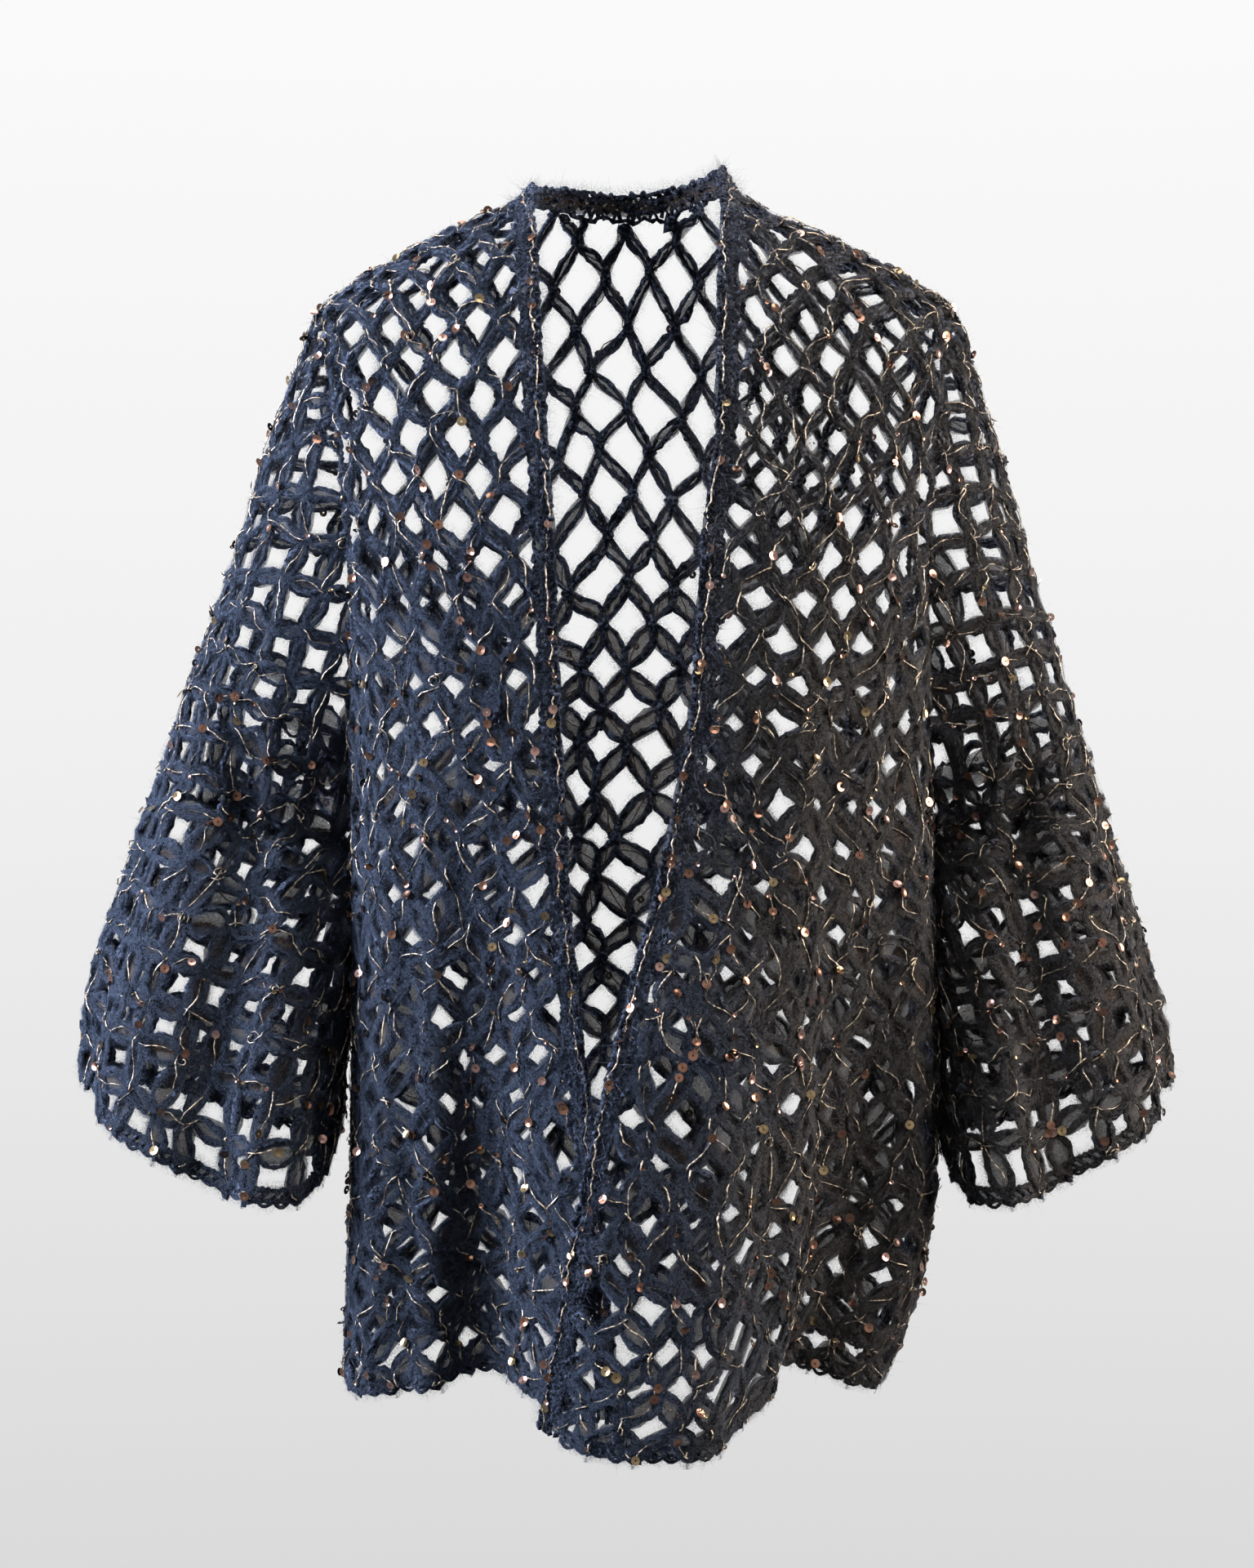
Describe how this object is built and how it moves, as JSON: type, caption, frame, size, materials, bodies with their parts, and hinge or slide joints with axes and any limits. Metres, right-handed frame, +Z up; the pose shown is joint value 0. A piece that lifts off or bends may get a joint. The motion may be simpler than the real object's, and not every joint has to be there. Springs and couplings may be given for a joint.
{
  "type": "open-knit cardigan",
  "caption": "Oversized open-front cardigan in a diamond love-knot net, with drop shoulders, wide bell sleeves and a narrow dense band round the fronts and neck, hollow as worn.",
  "frame": {"origin": "middle of the neck opening, level with the neck ends of the shoulder seams, where the wearer's shoulders hold it", "axes": "+X towards the wearer's left, +Y towards the wearer's back, +Z up, so the open front faces -Y"},
  "size_m": [0.7255, 0.3045, 0.8187],
  "materials": {
    "mohair_net": "brushed, matt",
    "mohair_edging": "brushed, matt"
  },
  "bodies": {
    "root": {"front_right": "mohair_net", "front_left": "mohair_net", "back": "mohair_net", "sleeve_right": "mohair_net", "sleeve_left": "mohair_net", "band_right": "mohair_edging", "band_neck": "mohair_edging", "band_left": "mohair_edging"}
  },
  "joints": []
}
